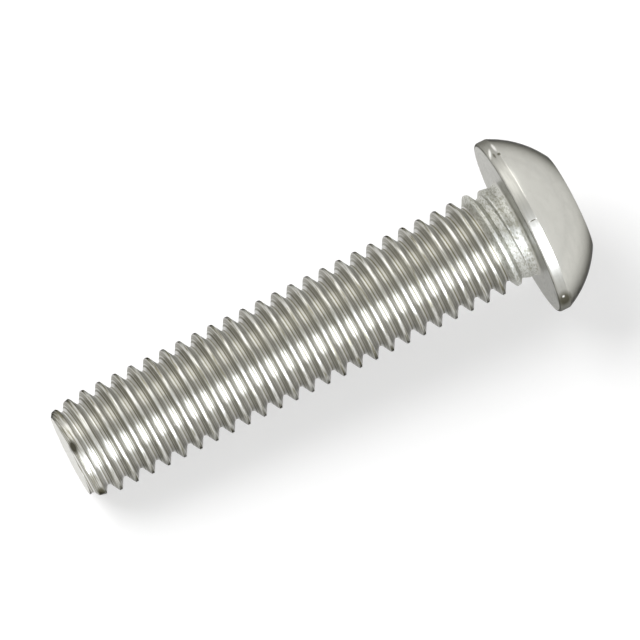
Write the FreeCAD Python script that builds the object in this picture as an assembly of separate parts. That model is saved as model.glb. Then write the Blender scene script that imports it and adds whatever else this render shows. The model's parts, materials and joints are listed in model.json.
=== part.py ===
"""Button head socket screw, M6 x 28, one cold-headed piece of stainless steel.

The screw is drawn about its own axis: x runs along it from the bearing face under the head, with the
point at -length and the crown at +head_height. It is then laid down as it comes to rest on a flat
surface, on the rim of its head and on the last full turn of its thread, with +Z up, the centre of the
bearing face at the origin and the head towards +X. The shank is the envelope over the thread's crests.
Sizes are in millimetres and degrees.
"""
import FreeCAD
import Part

import math
import os

from FreeCAD import Vector

# Shank, from the bearing face down: neck under the head, thread run-out, thread
length = 28.0
crest_diameter = 5.93
neck_diameter = 5.54
neck_length = 0.5
runout_length = 1.3
underhead_radius = 0.35

# Point: a slight taper over the first turns, then a chamfer down to the end face
point_taper_length = 1.45
chamfer_diameter = 5.24
chamfer_length = 0.15
end_diameter = 4.76

# Head: bearing face, straight rim, domed crown with a flat round the socket
head_diameter = 10.5
head_height = 3.3
rim_height = 0.65
crown_flat_diameter = 5.7
bearing_edge_radius = 0.15
rim_edge_radius = 0.1
crown_edge_radius = 0.2

# Hexagon socket, countersunk at its mouth, with a conical floor
key_size = 4.0
socket_depth = 2.1
floor_cone_depth = 0.46
mouth_diameter = 4.9
mouth_angle = 120.0

crest_radius = crest_diameter / 2
neck_radius = neck_diameter / 2
head_radius = head_diameter / 2
crown_flat_radius = crown_flat_diameter / 2
point_start = chamfer_length + point_taper_length - length
runout_start = -neck_length - runout_length

origin = Vector(0, 0, 0)
screw_axis = Vector(1, 0, 0)


def on_outline(x, radius):
    """Return the point of the half outline at x along the axis and this far from it."""
    return Vector(x, radius, 0)


def dome_arc():
    """Return the crown's arc, from the rim up to the flat, centred on the screw's axis."""
    rise = head_height - rim_height
    centre = (head_height + rim_height - (head_radius ** 2 - crown_flat_radius ** 2) / rise) / 2
    radius = math.hypot(head_height - centre, crown_flat_radius)
    foot_angle = math.asin(head_radius / radius)
    top_angle = math.asin(crown_flat_radius / radius)
    middle = (foot_angle + top_angle) / 2
    halfway = on_outline(centre + radius * math.cos(middle), radius * math.sin(middle))
    foot = on_outline(rim_height, head_radius)
    top = on_outline(head_height, crown_flat_radius)
    return Part.Arc(foot, halfway, top).toShape()


def rounded(outline, corner, rounding):
    """Return the outline's edges with an arc of this radius in place of the corner at this point."""
    after = next(place for place, edge in enumerate(outline) if edge.Vertexes[0].Point.isEqual(corner, 0.001))
    fillet = Part.ChFi2d.FilletAlgo(outline[after - 1], outline[after], Part.Plane())
    fillet.perform(rounding)
    arc, shortened_before, shortened_after = fillet.result(corner)
    return outline[:after - 1] + [shortened_before, arc, shortened_after] + outline[after + 1:]


def turned_blank():
    """Return the screw without its socket: its half outline turned about the axis."""
    neck_foot = on_outline(0, neck_radius)
    bearing_edge = on_outline(0, head_radius)
    rim_edge = on_outline(rim_height, head_radius)
    crown_edge = on_outline(head_height, crown_flat_radius)
    shank_and_rim = Part.makePolygon([
        on_outline(-length, 0),
        on_outline(-length, end_diameter / 2),
        on_outline(chamfer_length - length, chamfer_diameter / 2),
        on_outline(point_start, crest_radius),
        on_outline(runout_start, crest_radius),
        on_outline(-neck_length, neck_radius),
        neck_foot,
        bearing_edge,
        rim_edge,
    ])
    flat_and_back = Part.makePolygon([crown_edge, on_outline(head_height, 0), on_outline(-length, 0)])
    outline = shank_and_rim.Edges + [dome_arc()] + flat_and_back.Edges
    outline = rounded(outline, neck_foot, underhead_radius)
    outline = rounded(outline, bearing_edge, bearing_edge_radius)
    outline = rounded(outline, rim_edge, rim_edge_radius)
    outline = rounded(outline, crown_edge, crown_edge_radius)
    return Part.Face(Part.Wire(outline)).revolve(origin, screw_axis, 360)


def socket():
    """Return the socket's space: a hexagon ended by the floor's cone, and the cone at its mouth."""
    corner_radius = key_size / 2 / math.cos(math.pi / 6)
    floor = head_height - socket_depth - floor_cone_depth
    corners = [Vector(floor, corner_radius * math.cos(turn), corner_radius * math.sin(turn))
               for turn in (math.pi / 3 * corner for corner in range(7))]
    hexagon = Part.Face(Part.makePolygon(corners)).extrude(Vector(head_height - floor, 0, 0))

    cone = Part.makeCone(0, corner_radius, floor_cone_depth, Vector(floor, 0, 0), screw_axis)
    bore = Part.makeCylinder(corner_radius, socket_depth, Vector(floor + floor_cone_depth, 0, 0), screw_axis)
    punched = hexagon.common(cone.fuse(bore))

    mouth_radius = mouth_diameter / 2
    mouth_depth = mouth_radius / math.tan(math.radians(mouth_angle / 2))
    mouth = Part.makeCone(0, mouth_radius, mouth_depth, Vector(head_height - mouth_depth, 0, 0), screw_axis)
    return punched.fuse(mouth)


def rest_tilt():
    """Return the angle at which the axis rises to the head when rim and thread touch the surface.

    The rim's rounding touches below its own centre and the thread at the last full crest, so both
    are at one height when reach * sin(tilt) - drop * cos(tilt) = bearing_edge_radius.
    """
    reach = bearing_edge_radius - point_start
    drop = head_radius - bearing_edge_radius - crest_radius
    return math.degrees(math.atan2(drop, reach) + math.asin(bearing_edge_radius / math.hypot(reach, drop)))


def laid_down(shape):
    """Return the shape turned from its own axis to where it lies, head towards +X and raised."""
    return shape.rotated(origin, Vector(0, 1, 0), -rest_tilt())


def screw():
    """Return the whole screw at rest."""
    return laid_down(turned_blank().cut(socket()).Solids[0])


def main():
    """Write the screw's one solid."""
    os.makedirs("parts", exist_ok=True)
    screw().exportStep("parts/screw.step")


if __name__ == "__main__":
    main()
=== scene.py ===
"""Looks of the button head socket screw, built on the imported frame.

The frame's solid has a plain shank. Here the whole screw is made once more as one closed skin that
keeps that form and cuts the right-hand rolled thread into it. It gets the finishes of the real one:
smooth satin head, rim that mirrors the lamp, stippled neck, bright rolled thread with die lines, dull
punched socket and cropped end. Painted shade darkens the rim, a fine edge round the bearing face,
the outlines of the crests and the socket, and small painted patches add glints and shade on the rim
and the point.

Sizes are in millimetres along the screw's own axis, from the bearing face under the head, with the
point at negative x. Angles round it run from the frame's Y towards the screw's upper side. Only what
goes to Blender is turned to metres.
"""
from __future__ import annotations

import json
import logging
import math
from dataclasses import dataclass, field
from enum import Enum
from typing import Any

import bmesh
import bpy
import numpy as np
from mathutils import Matrix, Vector

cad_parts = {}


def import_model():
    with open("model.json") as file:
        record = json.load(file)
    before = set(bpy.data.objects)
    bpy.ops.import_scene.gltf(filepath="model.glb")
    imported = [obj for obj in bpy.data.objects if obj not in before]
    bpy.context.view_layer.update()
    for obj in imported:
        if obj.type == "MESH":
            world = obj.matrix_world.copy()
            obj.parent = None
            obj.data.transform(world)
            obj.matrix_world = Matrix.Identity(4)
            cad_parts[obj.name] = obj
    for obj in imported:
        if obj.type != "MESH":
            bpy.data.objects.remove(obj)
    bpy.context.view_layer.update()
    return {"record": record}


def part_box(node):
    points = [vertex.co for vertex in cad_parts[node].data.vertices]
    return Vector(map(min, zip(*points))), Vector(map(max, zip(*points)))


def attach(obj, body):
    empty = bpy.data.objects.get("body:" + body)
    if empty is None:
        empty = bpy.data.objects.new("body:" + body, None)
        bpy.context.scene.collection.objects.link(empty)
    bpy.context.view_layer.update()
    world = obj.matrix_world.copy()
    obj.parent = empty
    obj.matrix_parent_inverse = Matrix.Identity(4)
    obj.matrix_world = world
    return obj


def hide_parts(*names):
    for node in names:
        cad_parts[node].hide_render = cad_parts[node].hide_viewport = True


LOG = logging.getLogger("screw")
METRES = 0.001
NODE = "screw"
SKIN_LAYOUT = "skin"


def linear(srgb_hex: str) -> tuple[float, float, float, float]:
    """Turn an sRGB hex colour into Blender's linear RGBA.

    Args:
        srgb_hex: six hex digits, with or without a leading #.

    Returns:
        Red, green, blue and an alpha of 1.
    """
    digits = srgb_hex.lstrip("#")
    channels = [int(digits[place:place + 2], 16) / 255 for place in (0, 2, 4)]
    red, green, blue = (c / 12.92 if c <= 0.04045 else ((c + 0.055) / 1.055) ** 2.4 for c in channels)
    return red, green, blue, 1.0


def add_node(tree: bpy.types.NodeTree, kind: str, settings: dict[str | int, Any] | None = None,
             links: dict[str | int, bpy.types.NodeSocket] | None = None) -> bpy.types.Node:
    """Add a shader node, set it up and link its inputs.

    Args:
        tree: the node tree to add to.
        kind: the node's Blender type name.
        settings: values by name, of the node's own properties or else of its inputs. Inputs that
            share a name go by their number.
        links: output sockets by the name or number of the input that each feeds.

    Returns:
        The new node.
    """
    node = tree.nodes.new(kind)
    for name, value in (settings or {}).items():
        if isinstance(name, str) and hasattr(node, name):
            setattr(node, name, value)
        else:
            node.inputs[name].default_value = value
    for name, output in (links or {}).items():
        tree.links.new(output, node.inputs[name])
    return node


def seen_directly(tree: bpy.types.NodeTree) -> bpy.types.NodeSocket:
    """Tell what is looked at from what only lights the screw.

    Args:
        tree: the node tree to add to.

    Returns:
        A socket with 1 for what the camera, metal or glass sees, and 0 for the rest.
    """
    path = add_node(tree, "ShaderNodeLightPath")
    seen = path.outputs["Is Camera Ray"]
    for also in ("Is Glossy Ray", "Is Transmission Ray"):
        either = add_node(tree, "ShaderNodeMath", {"operation": "MAXIMUM"}, {0: seen, 1: path.outputs[also]})
        seen = either.outputs["Value"]
    return seen


def direction(azimuth: float, elevation: float) -> Vector:
    """Return the way to a place so many degrees round from the front, -Y, towards +X, and so many up."""
    around, above = math.radians(azimuth), math.radians(elevation)
    return Vector((math.sin(around) * math.cos(above), -math.cos(around) * math.cos(above), math.sin(above)))


class Region(Enum):
    """Stretches of the screw's skin that are made, and so finished, in different ways."""

    END = 0
    THREAD = 1
    CREST = 2
    NECK = 3
    BEARING = 4
    EDGE = 5
    RIM = 6
    HEAD = 7
    SOCKET = 8


@dataclass(frozen=True)
class Mark:
    """A small painted patch on the skin: a bright one is a painted glint, a dark one painted shade.

    It lies on the skin at x along the axis and at an angle in degrees round it. Along, round and through
    are half its size along the axis, round it and through the skin, and turn slants it by so many
    degrees. It is full up to full_share of that size and fades to nothing at end_share.
    """

    x: float
    radius: float
    angle: float
    along: float
    round: float
    colour: str
    turn: float = 0.0
    depth: float = 0.02
    through: float = 1.0
    full_share: float = 0.5
    end_share: float = 1.1

    def mask(self, tree: bpy.types.NodeTree, to_frame: Matrix) -> bpy.types.NodeSocket:
        """Add the nodes that tell where the mark is.

        Args:
            tree: the node tree to add to.
            to_frame: the turn from the screw's own axes to the frame's.

        Returns:
            The socket that gives 1 in the mark and 0 outside it.
        """
        angle = math.radians(self.angle)
        outward = Vector((0.0, math.cos(angle), math.sin(angle)))
        along = Vector((1.0, 0.0, 0.0))
        middle = to_frame @ (along * self.x + outward * self.radius)
        own_axes = Matrix((along, outward.cross(along), outward)).transposed()
        slant = Matrix.Rotation(math.radians(self.turn), 3, "Z")
        turned = (to_frame.to_3x3().normalized() @ own_axes @ slant).to_euler()
        size = Vector((self.along, self.round, self.through)) * METRES
        place = add_node(tree, "ShaderNodeTexCoord")
        local = add_node(tree, "ShaderNodeMapping",
                         {"vector_type": "TEXTURE", "Location": middle, "Rotation": turned, "Scale": size},
                         {"Vector": place.outputs["Object"]})
        reach = add_node(tree, "ShaderNodeVectorMath", {"operation": "LENGTH"},
                         {"Vector": local.outputs["Vector"]})
        fade = {"From Min": self.full_share, "From Max": self.end_share, "To Min": 1.0, "To Max": 0.0}
        mask = add_node(tree, "ShaderNodeMapRange", fade, {"Value": reach.outputs["Value"]})
        return mask.outputs["Result"]


@dataclass(frozen=True)
class Steel:
    """Austenitic stainless steel as one tool leaves it, with the grain the tool's; some regions' colours are
    painted darker as shade.

    Metal shows nothing but what it mirrors, so the roughness says how soft that is. The grain's bump
    breaks it up as the tool's marks do, and its low places are darker and more matt, as they keep the
    film of oxide and oil that the tool polished off the high ones. Grain_along and grain_across are the
    length and the width of the tool's marks, round the screw and across that. The edge tint darkens the
    mirrored light at a glancing look; where it is dark, that is painted shade, dark outlines round the
    steel.

    Of the grain's noise, which keeps near the middle between 0 and 1, what lies under low_level is low
    and what lies over high_level is high. Noise is weakest on whole numbers, so the shift keeps the
    start of each stretch off them.
    """

    name: str
    roughness: float
    grain_along: float
    grain_across: float
    grain_depth: float
    colour: str = "#CBCAC3"
    low_colour: str = "#BEBDB6"
    edge_tint: str = "#FFFFFF"
    matt_low: float = 0.06
    low_level: float = 0.38
    high_level: float = 0.56
    grain_detail: float = 3.0
    grain_shift: tuple[float, float, float] = (0.4, 0.0, 0.4)

    def material(self, marks: tuple[Mark, ...], to_frame: Matrix) -> bpy.types.Material:
        """Make the Blender material, with its grain laid out on the skin and its marks on top.

        Args:
            marks: the painted glints and shade that may fall on it.
            to_frame: the turn from the screw's own axes to the frame's.

        Returns:
            The material.
        """
        material = bpy.data.materials.new(self.name)
        material.use_nodes = True
        tree = material.node_tree
        tree.nodes.clear()
        skin = add_node(tree, "ShaderNodeUVMap", {"uv_map": SKIN_LAYOUT})
        stretch = (1 / self.grain_along, 1 / self.grain_across, 1.0)
        scaled = add_node(tree, "ShaderNodeMapping", {"Scale": stretch, "Location": self.grain_shift},
                          {"Vector": skin.outputs["UV"]})
        grain = add_node(tree, "ShaderNodeTexNoise", {"Scale": 1.0, "Detail": self.grain_detail},
                         {"Vector": scaled.outputs["Vector"]})
        tone = add_node(tree, "ShaderNodeValToRGB", links={"Fac": grain.outputs["Fac"]})
        low, high = tone.color_ramp.elements
        low.position, low.color = self.low_level, linear(self.low_colour)
        high.position, high.color = self.high_level, linear(self.colour)
        matt = add_node(tree, "ShaderNodeMapRange",
                        {"From Min": self.low_level, "From Max": self.high_level,
                         "To Min": self.roughness + self.matt_low, "To Max": self.roughness},
                        {"Value": grain.outputs["Fac"]})
        bump = add_node(tree, "ShaderNodeBump", {"Strength": 1.0, "Distance": self.grain_depth * METRES},
                        {"Height": grain.outputs["Fac"]})
        colour, normal = tone.outputs["Color"], bump.outputs["Normal"]
        for mark in marks:
            mask = mark.mask(tree, to_frame)
            marked = add_node(tree, "ShaderNodeMixRGB", {"Color2": linear(mark.colour)},
                              {"Fac": mask, "Color1": colour})
            dent = add_node(tree, "ShaderNodeBump",
                            {"Strength": 1.0, "Distance": mark.depth * METRES, "invert": True},
                            {"Height": mask, "Normal": normal})
            colour, normal = marked.outputs["Color"], dent.outputs["Normal"]
        shader = add_node(tree, "ShaderNodeBsdfPrincipled",
                          {"Metallic": 1.0, "Specular Tint": linear(self.edge_tint)},
                          {"Base Color": colour, "Roughness": matt.outputs["Result"], "Normal": normal})
        add_node(tree, "ShaderNodeOutputMaterial", links={"Surface": shader.outputs["BSDF"]})
        return material


@dataclass(frozen=True)
class Arc:
    """A round stretch of the half outline, about a centre at x and radius, between two angles from +x."""

    x: float
    radius: float
    size: float
    start: float
    end: float

    def points(self, steps: int) -> list[tuple[float, float]]:
        """Return steps + 1 points, x and radius, from the start angle to the end angle."""
        angles = np.linspace(self.start, self.end, steps + 1)
        return [(self.x + self.size * math.cos(a), self.radius + self.size * math.sin(a)) for a in angles]


@dataclass
class Row:
    """One ring of the skin: where it runs at every column, and the region of the band that follows it."""

    x: np.ndarray
    radius: np.ndarray
    region: Region
    turn: int = 0


@dataclass
class Columns:
    """The directions round the axis at which the skin has its vertices."""

    count: int = 108

    @property
    def angle(self) -> np.ndarray:
        """Angles in radians, from the frame's Y towards the screw's upper side."""
        return np.arange(self.count) * (2 * math.pi / self.count)

    def ring(self, x: float, radius: float, region: Region) -> Row:
        """Return a round ring in a plane across the axis."""
        return Row(np.full(self.count, x), np.full(self.count, radius), region)


def smooth_min(a: np.ndarray, b: np.ndarray, width: float) -> np.ndarray:
    """Return the lower of two heights, with the corner between them rounded over this width."""
    share = np.clip(0.5 + 0.5 * (b - a) / width, 0, 1)
    return b + (a - b) * share - width * share * (1 - share)


@dataclass
class Thread:
    """The M6 coarse thread, rolled right-hand, from the point's end face to its run-out at the neck.

    The crest phase is x of a crest's middle where the columns begin. The crest, flank and root steps are
    the shares of each stretch at which the skin has a row.
    """

    length: float
    crest_radius: float
    pitch: float = 1.0
    crest_phase: float = -1.8646
    crest_half_width: float = 0.0825
    root_rounding: float = 0.144
    edge_rounding: float = 0.035
    end_radius: float = 2.38
    chamfer_length: float = 0.15
    chamfer_radius: float = 2.62
    taper_length: float = 1.45
    runout_start: float = -1.8
    runout_end: float = -0.5
    neck_radius: float = 2.77
    neck_start: float = -1.75
    floor_rise_start: float = -1.55
    floor_rise_end: float = -0.55
    half_flank_angle: float = math.radians(30)
    crest_steps: tuple[float, ...] = (0.45, 0.75, 1.0)
    flank_steps: tuple[float, ...] = (0.1, 0.25, 0.5, 0.75, 1.0)
    root_steps: tuple[float, ...] = (0.25, 0.5, 0.75, 1.0)

    @property
    def slope(self) -> float:
        """Fall of the flank in radius for each millimetre along the axis."""
        return 1 / math.tan(self.half_flank_angle)

    @property
    def root_start(self) -> float:
        """Distance from the crest's middle at which the flank runs into the rounded root."""
        return self.pitch / 2 - self.root_rounding * math.cos(self.half_flank_angle)

    @property
    def root_radius(self) -> float:
        """Radius at the bottom of the groove."""
        fall = (self.root_start - self.crest_half_width) * self.slope
        return self.crest_radius - fall - self.root_rounding * (1 - math.sin(self.half_flank_angle))

    def crest_line(self, x: np.ndarray) -> np.ndarray:
        """Work out the radius over the crests: full, tapered at the point and run out at the neck.

        Args:
            x: places along the axis.

        Returns:
            The radius at each.
        """
        taper_end = self.chamfer_length - self.length
        places = (-self.length, taper_end, taper_end + self.taper_length, self.runout_start, self.runout_end)
        full = self.crest_radius
        radii = (self.end_radius, self.chamfer_radius, full, full, self.neck_radius)
        return np.interp(x, places, radii)

    def floor_line(self, x: np.ndarray) -> np.ndarray:
        """Return the least radius of the groove, which rises to the neck where the dies let go."""
        rise = (self.floor_rise_start, self.floor_rise_end)
        return np.interp(x, rise, (self.root_radius, self.neck_radius))

    def groove(self, from_crest: np.ndarray) -> np.ndarray:
        """Work out the radius of the V with its rounded root, as if its crests were sharp.

        Args:
            from_crest: distances from the middle of a crest, along the axis.

        Returns:
            The radius at each.
        """
        distance = np.abs((from_crest + self.pitch / 2) % self.pitch - self.pitch / 2)
        flank = self.crest_radius - (distance - self.crest_half_width) * self.slope
        to_middle = np.minimum(self.pitch / 2 - distance, self.root_rounding)
        rounded = self.root_radius + self.root_rounding - np.sqrt(self.root_rounding ** 2 - to_middle ** 2)
        return np.where(distance < self.root_start, flank, rounded)

    def radius(self, x: np.ndarray, from_crest: np.ndarray) -> np.ndarray:
        """Work out the skin's radius.

        Args:
            x: places along the axis.
            from_crest: the distance of each from the middle of a crest.

        Returns:
            The radius at each.
        """
        floor = self.floor_line(x)
        cut = -smooth_min(-self.groove(from_crest), -floor, self.edge_rounding)
        cut = np.where(floor > self.root_radius, cut, self.groove(from_crest))
        return smooth_min(cut, self.crest_line(x), self.edge_rounding)

    def half_profile(self, crest: np.ndarray, side: int) -> list[np.ndarray]:
        """Work out where the rows of one side of a crest run.

        Args:
            crest: x of the crest's middle at every column.
            side: 1 towards the head, -1 towards the point.

        Returns:
            One array for each row, from the crest outwards, with a distance for each column.
        """
        edge = self.crest_half_width + (self.crest_radius - self.crest_line(crest)) / self.slope
        groove_middle = crest + side * self.pitch / 2
        floor = np.maximum(self.floor_line(groove_middle), self.root_radius)
        lifted = self.crest_half_width + (self.crest_radius - floor) / self.slope
        foot = np.maximum(np.minimum(lifted, self.root_start), edge)
        steps = [edge * step for step in self.crest_steps]
        steps += [edge + (foot - edge) * step for step in self.flank_steps]
        steps += [foot + (self.pitch / 2 - foot) * step for step in self.root_steps]
        return [side * step for step in steps]

    def rows(self, columns: Columns) -> list[Row]:
        """Make the helical rows: each runs along the thread and meets the next turn's at the seam.

        Args:
            columns: the directions in which the skin has its vertices.

        Returns:
            The rows, from the point to the neck.
        """
        start, end = -self.length, self.runout_end
        rows = []
        lead = self.crest_phase + columns.angle / (2 * math.pi) * self.pitch
        first = math.floor((start - self.crest_phase) / self.pitch) - 1
        last = math.ceil((end - self.crest_phase) / self.pitch) + 1
        for turn in range(first, last):
            crest = lead + turn * self.pitch
            below = self.half_profile(crest, -1)[::-1]
            above = self.half_profile(crest, 1)[:-1]
            flank_top = len(below) - len(self.crest_steps)
            crest_bands = range(flank_top, flank_top + 2 * len(self.crest_steps))
            for band, from_crest in enumerate(below + [np.zeros(columns.count)] + above):
                x = np.clip(crest + from_crest, start, end)
                region = Region.CREST if band in crest_bands else Region.THREAD
                region = region if x.mean() < self.neck_start else Region.NECK
                rows.append(Row(x, self.radius(x, x - crest), region, turn - first))
        return rows

    @property
    def rows_per_turn(self) -> int:
        """Number of rows between a row and the one that carries it on over the seam."""
        return 2 * (len(self.crest_steps) + len(self.flank_steps) + len(self.root_steps))


@dataclass
class Head:
    """The headed end: neck fillet, bearing face, rim, dome and the flat round the socket."""

    radius: float = 5.25
    height: float = 3.3
    rim_height: float = 0.65
    crown_flat_radius: float = 2.85
    neck_radius: float = Thread.neck_radius
    underhead_radius: float = 0.35
    bearing_edge_radius: float = 0.15
    rim_edge_radius: float = 0.1
    crown_edge_radius: float = 0.2
    fillet_steps: int = 8
    edge_steps: int = 6
    dome_steps: int = 18
    face_rings: tuple[float, ...] = (3.3, 4.1, 4.9)
    rim_rings: tuple[float, ...] = (0.25, 0.4, 0.55)

    def dome(self) -> tuple[float, float]:
        """Work out the dome's arc through the edges of the rim and of the flat.

        Returns:
            x of its centre, on the axis, and its radius.
        """
        rise = self.height - self.rim_height
        fall = self.radius ** 2 - self.crown_flat_radius ** 2
        centre = (self.height + self.rim_height - fall / rise) / 2
        return centre, math.hypot(self.height - centre, self.crown_flat_radius)

    def rows(self, columns: Columns) -> list[Row]:
        """Make the rings from the neck over the rim to the crown's flat.

        Args:
            columns: the directions in which the skin has its vertices.

        Returns:
            The rings in that order.
        """
        quarter = math.pi / 2
        centre, dome_radius = self.dome()
        edge = self.bearing_edge_radius
        rim = self.rim_edge_radius
        crown = self.crown_edge_radius
        rim_radius = self.radius - rim
        rim_x = centre + math.sqrt((dome_radius - rim) ** 2 - rim_radius ** 2)
        rim_angle = math.atan2(rim_radius, rim_x - centre)
        crown_x = self.height - crown
        crown_radius = math.sqrt((dome_radius - crown) ** 2 - (crown_x - centre) ** 2)
        crown_angle = math.atan2(crown_radius, crown_x - centre)

        fillet = Arc(-self.underhead_radius, self.neck_radius + self.underhead_radius,
                     self.underhead_radius, -quarter, 0)
        bearing_edge = Arc(edge, self.radius - edge, edge, 2 * quarter, quarter)
        rim_edge = Arc(rim_x, rim_radius, rim, quarter, rim_angle)
        dome = Arc(centre, 0, dome_radius, rim_angle, crown_angle)
        crown_edge = Arc(crown_x, crown_radius, crown, crown_angle, 0)

        half_fillet, half_edge = self.fillet_steps // 2, self.edge_steps // 2
        stretches = (
            (Region.NECK, fillet.points(self.fillet_steps)[:half_fillet]),
            (Region.BEARING, fillet.points(self.fillet_steps)[half_fillet:]),
            (Region.BEARING, [(0.0, ring) for ring in self.face_rings]),
            (Region.EDGE, bearing_edge.points(self.edge_steps)[:half_edge]),
            (Region.RIM, bearing_edge.points(self.edge_steps)[half_edge:]),
            (Region.RIM, [(ring, self.radius) for ring in self.rim_rings]),
            (Region.HEAD, rim_edge.points(half_edge)),
            (Region.HEAD, dome.points(self.dome_steps)[1:]),
            (Region.HEAD, crown_edge.points(self.edge_steps)[1:]),
        )
        return [columns.ring(x, radius, region) for region, points in stretches for x, radius in points]


@dataclass
class Socket:
    """The punched hexagon, countersunk at its mouth, with its conical floor.

    The mouth has the head's finish, as both come from one die, and the punch leaves its own below it.
    """

    crown: float
    key_size: float = 4.0
    depth: float = 2.1
    floor_depth: float = 0.46
    mouth_radius: float = 2.45
    mouth_half_angle: float = math.radians(60)
    lip: float = 0.05
    lip_steps: int = 3
    mouth_steps: int = 3
    wall_steps: int = 6
    floor_steps: int = 6

    def rows(self, columns: Columns) -> list[Row]:
        """Make the rows from the mouth down the six walls to the middle of the floor.

        Args:
            columns: the directions in which the skin has its vertices.

        Returns:
            The rows in that order.
        """
        sixth = math.pi / 3
        wall = self.key_size / 2 / np.cos(columns.angle % sixth - sixth / 2)
        corner = self.key_size / 2 / math.cos(sixth / 2)
        apex = self.crown - self.depth - self.floor_depth
        mouth_x = self.crown - (self.mouth_radius - wall) / math.tan(self.mouth_half_angle)
        floor_x = apex + wall * self.floor_depth / corner

        turn = math.pi / 2 - self.mouth_half_angle
        reach = self.lip * math.tan(turn / 2)
        lip = Arc(self.crown - self.lip, self.mouth_radius + reach, self.lip, 0, -turn)
        rows = [columns.ring(x, radius, Region.HEAD) for x, radius in lip.points(self.lip_steps)]
        lip_x, lip_radius = rows[-1].x, rows[-1].radius
        for share in np.linspace(0, 1, self.mouth_steps + 1)[1:]:
            rows.append(Row(lip_x + (mouth_x - lip_x) * share, lip_radius + (wall - lip_radius) * share,
                            Region.HEAD if share < 1 else Region.SOCKET))
        for share in np.linspace(0, 1, self.wall_steps + 1)[1:]:
            rows.append(Row(mouth_x + (floor_x - mouth_x) * share, wall, Region.SOCKET))
        for share in np.linspace(0, 1, self.floor_steps + 1)[1:]:
            rows.append(Row(floor_x + (apex - floor_x) * share, wall * (1 - share), Region.SOCKET))
        return rows


@dataclass
class EndFace:
    """The flat end of the point, as the wire was cropped."""

    edge: Row
    rings: tuple[float, ...] = (0.0, 0.3, 0.6, 0.85)

    def rows(self) -> list[Row]:
        """Return the rings from the middle outwards, up to the last before the thread's edge."""
        return [Row(self.edge.x, self.edge.radius * ring, Region.END) for ring in self.rings]


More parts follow.
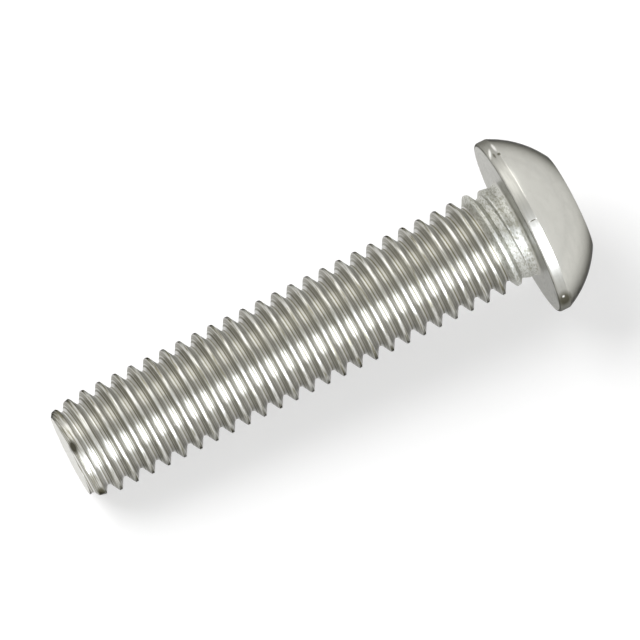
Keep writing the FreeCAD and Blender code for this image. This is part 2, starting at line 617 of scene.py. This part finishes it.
@dataclass
class Finishes:
    """The steel of each region, for what made its surface, with shade painted into some, and the glints and
    shade painted on them in small patches.
    """

    # Torn off as the wire was cropped: pale and satin, with a fine even speckle
    end: Steel = Steel("stainless_cropped", roughness=0.32, grain_along=0.3, grain_across=0.3,
                       grain_depth=0.003)
    # Rolled bright, with dark die lines along the flanks. One pair of dies made every turn, so a line
    # runs on through the whole thread. They are wider apart and deeper than real ones, to show at all.
    thread: Steel = Steel("stainless_thread_rolled", roughness=0.28, grain_along=4000.0, grain_across=0.15,
                          grain_depth=0.03, colour="#D8D7D3", low_colour="#656149", edge_tint="#D8D8D8")
    # The last place that fills between the dies, painted a little darker than the flanks, and its near black
    # edge tint paints a dark line of shade round each tooth
    crest: Steel = Steel("stainless_rolled_crest", roughness=0.3, grain_along=1.2, grain_across=0.1,
                         grain_depth=0.01, colour="#C4C3BD", low_colour="#827F70", edge_tint="#202020")
    # Skin of the wire where the dies run out: dull, with a stipple that the eye can just make out
    neck: Steel = Steel("stainless_rolling_run_out", roughness=0.44, grain_along=0.2, grain_across=0.12,
                        grain_depth=0.02, colour="#C0C0BA", low_colour="#9B9A8E")
    # Pressed flat by the die's face: an even grey with faint rings
    bearing: Steel = Steel("stainless_bearing_face", roughness=0.3, grain_along=0.5, grain_across=0.1,
                           grain_depth=0.001, colour="#CBCAC3", low_colour="#C2C1BA", edge_tint="#D4D4D4")
    # Painted shade: the steel made darker, with a dark edge tint, to draw a thin dark line between the
    # bearing face and the rim
    edge: Steel = Steel("stainless_burred_edge", roughness=0.36, grain_along=0.3, grain_across=0.1,
                        grain_depth=0.003, colour="#A4A39C", low_colour="#83827B", edge_tint="#707070")
    # Straight side of the head: a crisp band with faint streaks round it, painted darker than the head's
    # steel as shade, and its dark edge tint paints shade at the band's ends
    rim: Steel = Steel("stainless_die_rubbed_rim", roughness=0.36, grain_along=0.6, grain_across=0.12,
                       grain_depth=0.0008, colour="#ACABA4", low_colour="#A3A29B", edge_tint="#606060")
    # Upset against a polished die: smooth and satin, with only a breath of orange peel. Its dark edge tint
    # paints shade along the dome's outline
    head: Steel = Steel("stainless_cold_headed", roughness=0.2, grain_along=0.4, grain_across=0.4,
                        grain_depth=0.0005, colour="#CCCBC4", low_colour="#C9C8C1", edge_tint="#505050")
    # Wiped by the punch and never polished: duller than the head, and painted darker as shade in the recess,
    # so that the hexagon reads
    socket: Steel = Steel("stainless_punched", roughness=0.42, grain_along=0.4, grain_across=0.6,
                          grain_depth=0.001, colour="#9E9D95", low_colour="#92918A")

    head_glints_and_shade: tuple[Mark, ...] = (
        # Two painted glints on the rim's far side, each over a shallow dent
        Mark(x=0.22, radius=5.25, angle=53.2, along=0.09, round=0.55, colour="#F4F3EE", turn=-14),
        Mark(x=0.6, radius=5.25, angle=48.6, along=0.09, round=0.55, colour="#F4F3EE"),
        # Two specks of painted shade beside them
        Mark(x=0.36, radius=5.25, angle=57.0, along=0.07, round=0.3, colour="#7C7A70"),
        Mark(x=0.62, radius=5.22, angle=57.5, along=0.11, round=0.16, colour="#706E63"),
        # A dent across the rim on the near side, painted dark as shade, with a painted glint in it
        Mark(x=0.33, radius=5.25, angle=173.6, along=0.46, round=0.95, colour="#6E6C61", depth=0.006),
        Mark(x=0.3, radius=5.25, angle=169.4, along=0.09, round=0.14, colour="#FAF9F4", depth=0.008),
        # A painted reflection on top: a fine dark line across the rim, where the dark gap beside the front
        # lamp is mirrored
        Mark(x=0.41, radius=5.25, angle=109.6, along=0.24, round=0.035, colour="#5C5A50"),
    )
    point_painted_shade: tuple[Mark, ...] = (
        # Two spots of painted shade on the point's first turn, on top and on the near side
        Mark(x=-27.8, radius=2.6, angle=101.7, along=0.22, round=0.48, colour="#48463C", depth=0.01),
        Mark(x=-27.45, radius=2.65, angle=178.5, along=0.25, round=0.6, colour="#7A786C", depth=0.005),
    )

    def materials(self, to_frame: Matrix) -> list[bpy.types.Material]:
        """Return the materials in the order of the regions.

        Args:
            to_frame: the turn from the screw's own axes to the frame's.

        Returns:
            One material for each region.
        """
        stretches = (
            (self.point_painted_shade, (self.end, self.thread, self.crest)),
            ((), (self.neck,)),
            (self.head_glints_and_shade, (self.bearing, self.edge, self.rim, self.head)),
            ((), (self.socket,)),
        )
        return [steel.material(marks, to_frame) for marks, steels in stretches for steel in steels]


@dataclass
class Placement:
    """Where the frame says that the screw lies, and how large it is."""

    axis: Vector
    crest_radius: float
    length: float

    @classmethod
    def from_frame(cls, record: dict[str, Any], node: str) -> "Placement":
        """Read the axis and the thread from the record's mounts and the length from the node's box.

        As the screw lies tilted, the box ends at the upper edge of its end face.

        Args:
            record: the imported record.
            node: the screw's node.

        Returns:
            The placement.
        """
        mounts = {mount["name"]: mount for mount in record["mounts"]}
        axis = -Vector(mounts["bearing_face"]["axis"])
        crest_radius = mounts["thread"]["dims"]["r_mm"]
        lowest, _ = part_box(node)
        length = (-lowest.x / METRES - Thread.end_radius * axis.z) / axis.x
        return cls(axis, crest_radius, round(length, 2))

    def matrix(self) -> Matrix:
        """Work out how the screw's own axes lie in the frame.

        Returns:
            The turn from its own millimetres to the frame's metres.
        """
        side = Vector((0, 1, 0))
        upper = self.axis.cross(side)
        turn = Matrix((self.axis, side, upper)).transposed()
        return (turn * METRES).to_4x4()


@dataclass
class Screw:
    """The whole screw as one closed skin, of rows round the axis that meet at a seam."""

    placement: Placement
    finishes: Finishes = field(default_factory=Finishes)
    columns: Columns = field(default_factory=Columns)
    name: str = "stainless_screw"
    node: str = NODE
    body: str = "root"
    slot: str = "stainless"
    sharp_angle: float = math.radians(40)
    weld_distance: float = 0.0002

    def build(self) -> bpy.types.Object:
        """Make the skin, dress it and let it stand for the frame's node.

        Returns:
            The screw's object.
        """
        thread = Thread(self.placement.length, self.placement.crest_radius)
        head = Head()
        helix = thread.rows(self.columns)
        before = EndFace(helix[0]).rows()
        after = head.rows(self.columns) + Socket(head.height).rows(self.columns)
        mesh = self.skin(before, helix, after, thread.rows_per_turn)
        piece = bpy.data.objects.new(self.name, mesh)
        bpy.context.scene.collection.objects.link(piece)
        for material in self.finishes.materials(self.placement.matrix()):
            mesh.materials.append(material)
        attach(piece, self.body)
        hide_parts(self.node)
        LOG.info("%s: %d faces", piece.name, len(mesh.polygons))
        return piece

    def skin(self, before: list[Row], helix: list[Row], after: list[Row], lead: int) -> bpy.types.Mesh:
        """Join all rows into one closed mesh.

        Args:
            before: rings of the end face, from its middle.
            helix: rows of the thread, each carried on by the one that is lead rows further.
            after: rings of the head and the socket, to the middle of its floor.
            lead: rows in one turn of the thread.

        Returns:
            The mesh, in metres of the frame.
        """
        rows = before + helix + after
        count, columns = len(rows), self.columns.count
        first, last = len(before), len(before) + len(helix) - 1
        x = np.array([row.x for row in rows])
        radius = np.array([row.radius for row in rows])
        angle = self.columns.angle
        points = np.stack([x, radius * np.cos(angle), radius * np.sin(angle)], axis=-1).reshape(-1, 3)

        row_index = np.arange(count)
        carried_on = np.where((row_index >= first) & (row_index <= last),
                              np.minimum(row_index + lead, last), row_index)
        faces, regions = [], []
        for row in range(count - 1):
            for column in range(columns):
                following = (column + 1) % columns
                near, far = (row, row + 1) if following else (carried_on[row], carried_on[row + 1])
                faces.append((row * columns + column, near * columns + following,
                              far * columns + following, (row + 1) * columns + column))
                regions.append(rows[row].region.value)
        mesh = bpy.data.meshes.new(self.name)
        mesh.from_pydata(points.tolist(), [], faces)
        mesh.polygons.foreach_set("material_index", regions)
        self.unwrap(mesh, x, radius, np.array([row.turn for row in rows]))
        self.weld(mesh)
        mesh.transform(self.placement.matrix())
        mesh.polygons.foreach_set("use_smooth", [True] * len(mesh.polygons))
        mesh.set_sharp_from_angle(angle=self.sharp_angle)
        return mesh

    def unwrap(self, mesh: bpy.types.Mesh, x: np.ndarray, radius: np.ndarray, turn: np.ndarray) -> None:
        """Lay the skin out in millimetres, so that the grain follows the thread.

        Across is the way round the shank, which goes on from turn to turn along the thread. Up is the
        way along the outline, which begins anew at each turn.

        Args:
            mesh: the mesh, before welding.
            x: place along the axis by row and column.
            radius: radius by row and column.
            turn: number of whole turns of the thread before each row.
        """
        columns = self.columns.count
        steps = np.hypot(np.diff(x, axis=0), np.diff(radius, axis=0)).max(axis=1)
        up = np.append(0, np.cumsum(steps))
        turn_start = np.array([up[turn == number].min() for number in turn])
        low = (up - turn_start)[:-1]
        across = (turn[:-1, None] * columns + np.arange(columns)) * self.across_step
        lows = np.broadcast_to(low[:, None], across.shape)
        highs = lows + steps[:, None]
        right = across + self.across_step
        uv = np.stack([across, lows, right, lows, right, highs, across, highs], axis=-1)
        layer = mesh.uv_layers.new(name=SKIN_LAYOUT)
        layer.data.foreach_set("uv", uv.astype(np.float32).ravel())

    @property
    def across_step(self) -> float:
        """Distance between two columns, measured on the crests."""
        return 2 * math.pi / self.columns.count * self.placement.crest_radius

    def weld(self, mesh: bpy.types.Mesh) -> None:
        """Merge the vertices that fall together at the ends of the thread and in the middles.

        Args:
            mesh: the mesh, which is changed.
        """
        work = bmesh.new()
        work.from_mesh(mesh)
        bmesh.ops.remove_doubles(work, verts=work.verts, dist=self.weld_distance)
        bmesh.ops.recalc_face_normals(work, faces=work.faces)
        work.to_mesh(mesh)
        work.free()


@dataclass
class PhotoCamera:
    """A long lens at the photograph's angle, so far away that the screw shows no perspective.

    The origin pixel is where the centre of the bearing face lies in the picture. The nearest and the
    furthest that it sees are in metres.
    """

    azimuth: float = -27.04
    elevation: float = 67.9
    pixels: int = 640
    pixels_per_mm: float = 17.93
    origin_pixel: tuple[float, float] = (516.9, 228.4)
    lens: float = 600.0
    sensor: float = 36.0
    nearest: float = 0.01
    furthest: float = 10.0

    def build(self) -> bpy.types.Object:
        """Make the camera and set it as the scene's.

        Returns:
            The camera's object.
        """
        data = bpy.data.cameras.new("photo_camera")
        data.lens = self.lens
        data.sensor_width = self.sensor
        data.clip_start = self.nearest
        data.clip_end = self.furthest
        camera = bpy.data.objects.new("photo_camera", data)
        bpy.context.scene.collection.objects.link(camera)
        bpy.context.scene.camera = camera
        around = math.radians(self.azimuth)
        right = Vector((math.cos(around), math.sin(around), 0))
        back = direction(self.azimuth, self.elevation)
        up = back.cross(right)
        middle = self.pixels / 2
        mm = METRES / self.pixels_per_mm
        aim = right * (middle - self.origin_pixel[0]) * mm + up * (self.origin_pixel[1] - middle) * mm
        distance = self.pixels * mm * self.lens / self.sensor
        turn = Matrix((right, up, back)).transposed().to_4x4()
        camera.matrix_world = Matrix.Translation(aim + back * distance) @ turn
        return camera


@dataclass
class Softbox:
    """A rectangular studio lamp that faces the screw, from so many metres away.

    A lamp that isn't mirrored lights the floor and casts the shadow without a glare on the steel. One
    that doesn't light the floor is only there for the steel to mirror.
    """

    name: str
    azimuth: float
    elevation: float
    width: float
    height: float
    radiance: float
    colour: str = "#FFFFFF"
    mirrored: bool = True
    lights_floor: bool = True
    distance: float = 0.35

    def build(self) -> bpy.types.Object:
        """Make the lamp at its place on a dome round the screw.

        Returns:
            The lamp's object.
        """
        data = bpy.data.lights.new(self.name, "AREA")
        data.shape = "RECTANGLE"
        data.size = self.width
        data.size_y = self.height
        # The power that gives a flat lamp of this size its radiance
        data.energy = self.radiance * math.pi * self.width * self.height
        data.color = linear(self.colour)[:3]
        lamp = bpy.data.objects.new(self.name, data)
        lamp.visible_glossy = self.mirrored
        lamp.visible_diffuse = self.lights_floor
        bpy.context.scene.collection.objects.link(lamp)
        away = direction(self.azimuth, self.elevation)
        lamp.location = away * self.distance
        lamp.rotation_euler = away.to_track_quat("Z", "Y").to_euler()
        return lamp


@dataclass
class Studio:
    """A white floor under the screw, a white surround and soft lamps.

    Floor_whiteness is the share of the floor that is plain white to the eye, and the rest keeps the
    shadow. The surround lights the floor with the strength surround_light. It is a little greyer
    overhead, from the sine of the elevation that ceiling_start gives.
    """

    floor_z: float
    floor_size: float = 4.0
    floor_roughness: float = 0.9
    floor_colour: str = "#FFFFFF"
    horizon_colour: str = "#FFFFFF"
    ceiling_colour: str = "#E4E4E2"
    ceiling_start: float = 0.85
    floor_whiteness: float = 0.58
    surround_light: float = 0.4
    lamps: tuple[Softbox, ...] = (
        Softbox("key_softbox", azimuth=222, elevation=48, width=0.25, height=0.25, radiance=8.0,
                mirrored=False),
        Softbox("front_softbox", azimuth=4, elevation=33, width=0.40, height=0.34, radiance=5.8,
                colour="#EEF3FF", lights_floor=False),
        Softbox("back_softbox", azimuth=178, elevation=53, width=0.60, height=0.30, radiance=1.15,
                lights_floor=False),
    )

    def build(self) -> None:
        """Make the floor, the surround and the lamps."""
        self.floor()
        self.surround()
        for lamp in self.lamps:
            lamp.build()
        bpy.context.scene.view_settings.view_transform = "Standard"

    def floor(self) -> bpy.types.Object:
        """Make the matt floor that the screw lies on, which keeps its shadow.

        Returns:
            The floor's object.
        """
        half = self.floor_size / 2
        corners = [(-half, -half, self.floor_z), (half, -half, self.floor_z),
                   (half, half, self.floor_z), (-half, half, self.floor_z)]
        mesh = bpy.data.meshes.new("floor")
        mesh.from_pydata(corners, [], [(0, 1, 2, 3)])
        mesh.materials.append(self.card())
        floor = bpy.data.objects.new("floor", mesh)
        bpy.context.scene.collection.objects.link(floor)
        return floor

    def card(self) -> bpy.types.Material:
        """Make the floor's matt white card: part of it plain white to the eye, the rest lit by the lamps.

        Returns:
            The material.
        """
        material = bpy.data.materials.new("matt_white_card")
        material.use_nodes = True
        tree = material.node_tree
        tree.nodes.clear()
        colour = linear(self.floor_colour)
        lit = add_node(tree, "ShaderNodeBsdfPrincipled",
                       {"Base Color": colour, "Roughness": self.floor_roughness, "Specular IOR Level": 0.0})
        white = add_node(tree, "ShaderNodeEmission", {"Color": colour, "Strength": 1.0})
        share = add_node(tree, "ShaderNodeMath", {"operation": "MULTIPLY", 1: self.floor_whiteness},
                         {0: seen_directly(tree)})
        mixed = add_node(tree, "ShaderNodeMixShader", links={
            0: share.outputs["Value"], 1: lit.outputs["BSDF"], 2: white.outputs["Emission"]})
        add_node(tree, "ShaderNodeOutputMaterial", links={"Surface": mixed.outputs["Shader"]})
        return material

    def surround(self) -> None:
        """Set the world: white where the camera or the metal sees it, and dimmer as light."""
        world = bpy.data.worlds.new("white_surround")
        bpy.context.scene.world = world
        world.use_nodes = True
        tree = world.node_tree
        tree.nodes.clear()
        outlook = add_node(tree, "ShaderNodeTexCoord")
        parts = add_node(tree, "ShaderNodeSeparateXYZ", links={"Vector": outlook.outputs["Generated"]})
        ramp = add_node(tree, "ShaderNodeValToRGB", links={"Fac": parts.outputs["Z"]})
        low, high = ramp.color_ramp.elements
        low.position, low.color = self.ceiling_start, linear(self.horizon_colour)
        high.position, high.color = 1.0, linear(self.ceiling_colour)
        light = add_node(tree, "ShaderNodeBackground", {"Strength": self.surround_light},
                         {"Color": ramp.outputs["Color"]})
        white = add_node(tree, "ShaderNodeBackground", {"Strength": 1.0}, {"Color": ramp.outputs["Color"]})
        mixed = add_node(tree, "ShaderNodeMixShader", links={
            0: seen_directly(tree), 1: light.outputs["Background"], 2: white.outputs["Background"]})
        add_node(tree, "ShaderNodeOutputWorld", links={"Surface": mixed.outputs["Shader"]})


def main() -> None:
    """Load the frame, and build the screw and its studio."""
    logging.basicConfig(level=logging.INFO, format="%(name)s: %(message)s")
    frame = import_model()
    placement = Placement.from_frame(frame["record"], NODE)
    LOG.info("length %.2f, crest radius %.3f", placement.length, placement.crest_radius)
    Screw(placement).build()
    lowest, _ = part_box(NODE)
    Studio(floor_z=lowest.z).build()
    PhotoCamera().build()
    LOG.info("boxes written")


if __name__ == "__main__":
    main()
